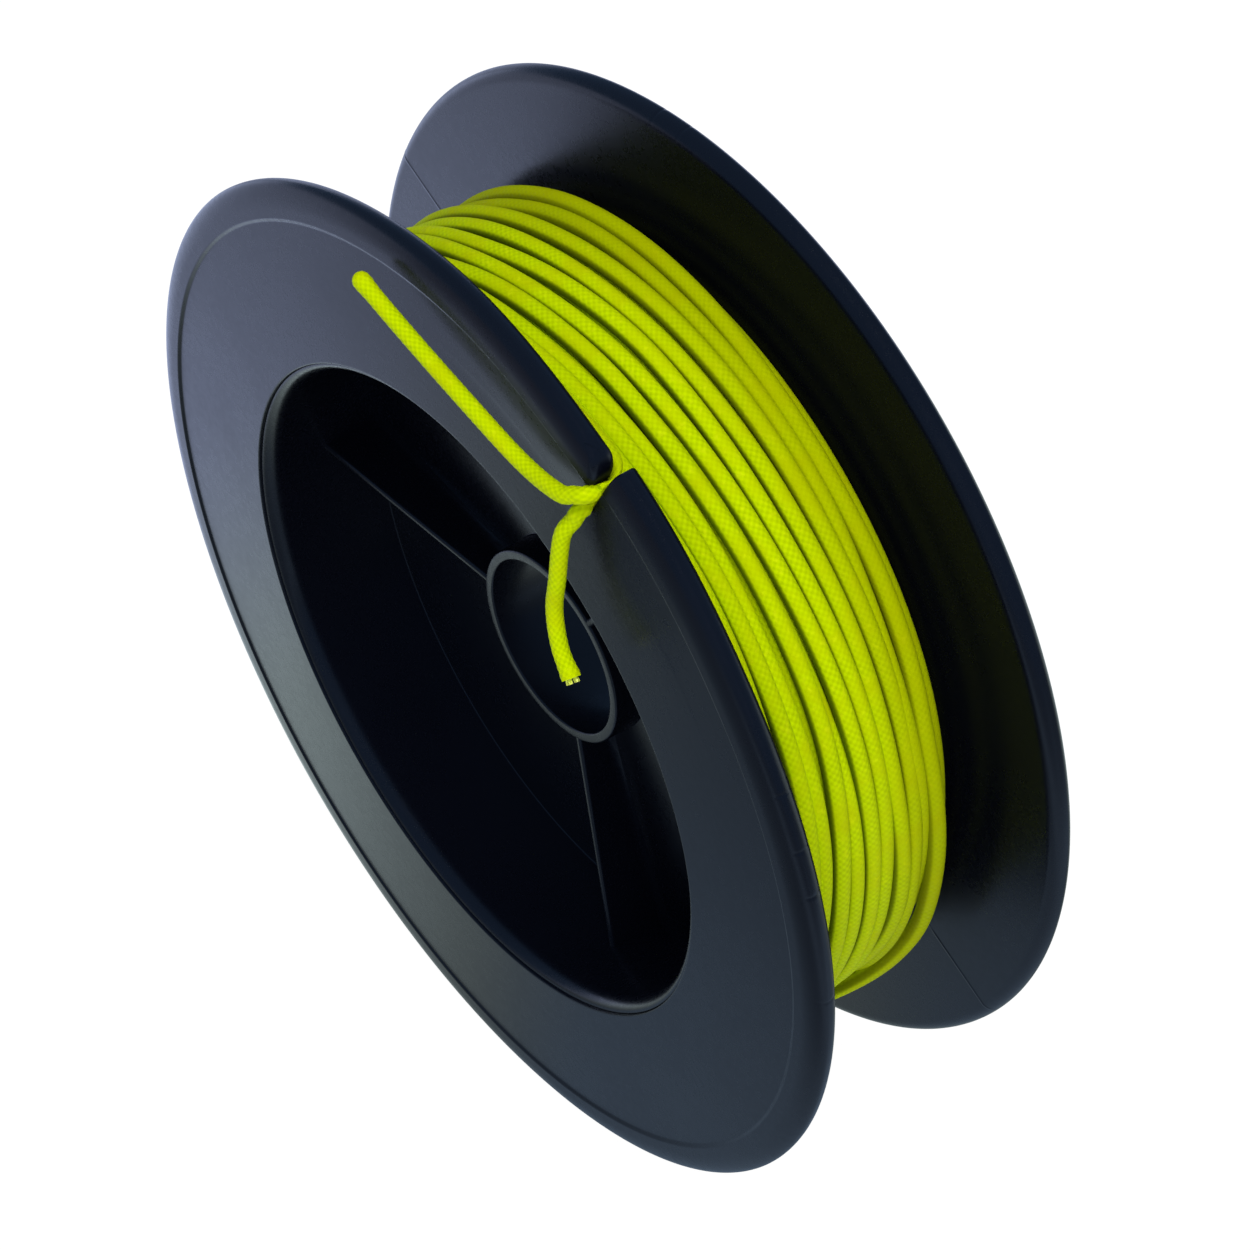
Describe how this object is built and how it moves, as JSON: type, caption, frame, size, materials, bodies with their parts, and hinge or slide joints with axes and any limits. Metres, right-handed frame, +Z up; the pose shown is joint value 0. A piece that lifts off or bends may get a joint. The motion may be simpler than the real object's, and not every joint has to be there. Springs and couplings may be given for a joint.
{
  "type": "fishing line spool",
  "caption": "Flanged plastic spool wound with thick braided line, its loose ends held in a rim slit, with a hollow ribbed core and a round hub bore.",
  "frame": {"origin": "centre of the hub bore, halfway along it", "axes": "+Y along the spool's axis towards the plain flange, so the flange with the slit faces -Y; +Z up, with the spool standing on its two rims"},
  "size_m": [0.112, 0.0371, 0.112],
  "materials": {
    "spool_plastic": "semi-gloss black injection moulding",
    "braided_line": "fluorescent yellow-green braided sheath",
    "core_yarn": "paler straight yarns inside the braid"
  },
  "bodies": {
    "spool": {"front_flange": "spool_plastic", "rear_flange": "spool_plastic", "core": "spool_plastic", "line_layer_1": "braided_line", "line_layer_2": "braided_line", "line_layer_3": "braided_line", "line_layer_4": "braided_line", "long_lead": "braided_line", "short_lead": "braided_line"},
    "long_bend": {"long_tail_bend": "braided_line"},
    "long_tail": {"long_tail_sheath": "braided_line", "long_tail_core": "core_yarn"},
    "short_bend": {"short_tail_bend": "braided_line"},
    "short_tail": {"short_tail_sheath": "braided_line", "short_tail_core": "core_yarn"}
  },
  "joints": [
    {"name": "long_tail_sweep", "type": "hinge", "parent": "spool", "child": "long_bend", "pos_m": [0.02279, -0.01775, 0.04674], "axis": [0, -1, 0], "range_deg": [-140, 0]},
    {"name": "long_tail_lift", "type": "hinge", "parent": "long_bend", "child": "long_tail", "pos_m": [0.01983, -0.01775, 0.04554], "axis": [-0.3746, 0, 0.9272], "range_deg": [0, 90]},
    {"name": "short_tail_sweep", "type": "hinge", "parent": "spool", "child": "short_bend", "pos_m": [0.02148, -0.01695, 0.04404], "axis": [0, -1, 0], "range_deg": [-25, 100]},
    {"name": "short_tail_lift", "type": "hinge", "parent": "short_bend", "child": "short_tail", "pos_m": [0.02071, -0.01805, 0.04094], "axis": [-0.9703, 0, 0.2419], "range_deg": [-5, 90]}
  ]
}
